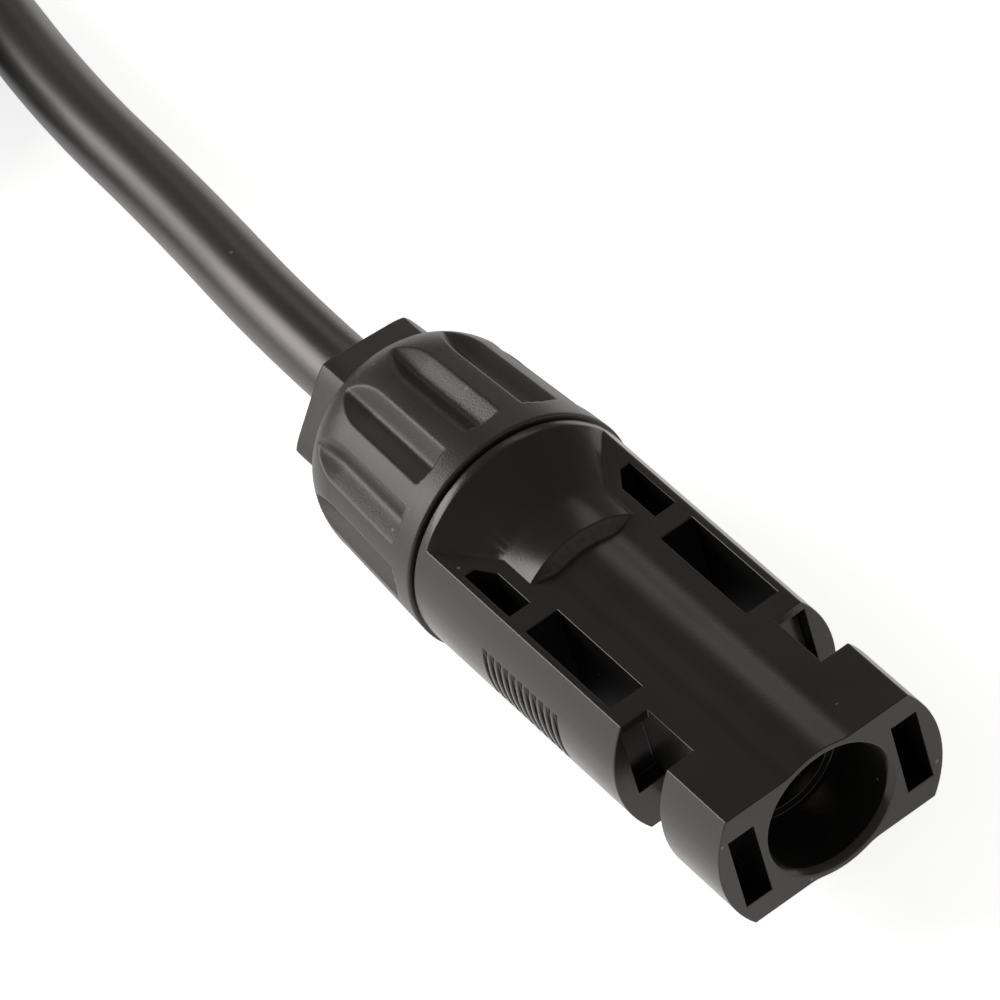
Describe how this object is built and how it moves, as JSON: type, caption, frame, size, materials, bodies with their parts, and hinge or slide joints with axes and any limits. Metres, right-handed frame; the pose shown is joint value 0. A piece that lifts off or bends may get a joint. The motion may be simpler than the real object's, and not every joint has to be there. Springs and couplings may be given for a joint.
{
  "type": "solar cable connector",
  "caption": "Inline pin-side solar cable connector with latch slots, fluted gland nut and a black cable coiled to a ferruled end.",
  "frame": {"origin": "centre of the mouth face, on the connector's axis", "axes": "+X out of the mouth along the axis, +Z square to the two flats, +Y across the body"},
  "size_m": [0.1685, 0.066, 0.0186],
  "materials": {
    "housing_plastic": "satin moulded, fine grain",
    "nut_plastic": "matt moulded, spark-eroded grain",
    "collet_plastic": "moulded",
    "seal_rubber": "matt",
    "contact_metal": "tin plated",
    "clip_steel": "spring steel",
    "copper": "tinned copper strands",
    "core_insulation": "satin",
    "cable_jacket": "satin extruded",
    "tie_fabric": "hook-and-loop tape",
    "ferrule_plastic": "moulded",
    "ferrule_metal": "tin plated"
  },
  "bodies": {
    "housing": {"housing": "housing_plastic", "gland_seal": "seal_rubber", "contact_pin": "contact_metal", "retaining_clip": "clip_steel", "conductor_strands": "copper", "core_insulation": "core_insulation", "cable_jacket_end": "cable_jacket", "cable_run": "cable_jacket", "cable_coil": "cable_jacket", "cable_tail": "cable_jacket", "coil_tie_1": "tie_fabric", "coil_tie_2": "tie_fabric", "coil_tie_3": "tie_fabric", "end_core": "core_insulation", "ferrule_collar": "ferrule_plastic", "ferrule_sleeve": "ferrule_metal"},
    "collet": {"clamping_collet": "collet_plastic"},
    "nut": {"gland_nut": "nut_plastic"}
  },
  "joints": [
    {"name": "collet_slide", "type": "slide", "parent": "housing", "child": "collet", "axis": [-1, 0, 0], "range_m": [0, 0.0076]},
    {"name": "nut_turn", "type": "hinge", "parent": "collet", "child": "nut", "pos_m": [-0.045, 0, 0], "axis": [-1, 0, 0], "range_deg": [0, 1800]}
  ],
  "couplings": [
    {"joint": "collet_slide", "follows": "nut_turn", "m_per_rad": 0.00023873}
  ]
}
